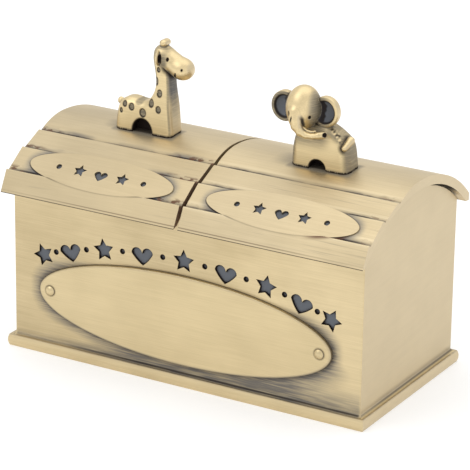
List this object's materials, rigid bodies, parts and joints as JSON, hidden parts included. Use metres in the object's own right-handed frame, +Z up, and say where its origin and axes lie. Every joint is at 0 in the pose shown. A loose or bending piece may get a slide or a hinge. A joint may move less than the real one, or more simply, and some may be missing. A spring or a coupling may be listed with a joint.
{
  "type": "baby tooth box",
  "caption": "Small cast keepsake chest with side-by-side arched lids on rear hinges, animal figures as handles, an oval front plaque and felt-lined compartments.",
  "frame": {"origin": "on the table under the middle of the box", "axes": "+X along the length to the elephant's end, +Y to the hinges at the rear, +Z up"},
  "size_m": [0.1032, 0.0568, 0.0811],
  "materials": {
    "cast_brass": "brushed antique",
    "figure_brass": "brushed antique",
    "plaque_brass": "brushed",
    "steel": "bright",
    "felt": "matt"
  },
  "bodies": {
    "box": {"base_plate": "cast_brass", "body_shell": "cast_brass", "partition": "cast_brass", "plaque": "plaque_brass", "plaque_rivets": "plaque_brass", "base_screws": "steel", "base_pad": "felt", "left_liner": "felt", "right_liner": "felt", "left_hinge_pin": "steel", "right_hinge_pin": "steel"},
    "left_lid": {"left_lid": "cast_brass", "giraffe": "figure_brass", "giraffe_screws": "steel"},
    "right_lid": {"right_lid": "cast_brass", "elephant": "figure_brass", "elephant_screws": "steel"}
  },
  "joints": [
    {"name": "left_lid_hinge", "type": "hinge", "parent": "box", "child": "left_lid", "pos_m": [-0.02575, 0.0265, 0.041], "axis": [-1, 0, 0], "range_deg": [0, 108]},
    {"name": "right_lid_hinge", "type": "hinge", "parent": "box", "child": "right_lid", "pos_m": [0.02575, 0.0265, 0.041], "axis": [-1, 0, 0], "range_deg": [0, 108]}
  ]
}
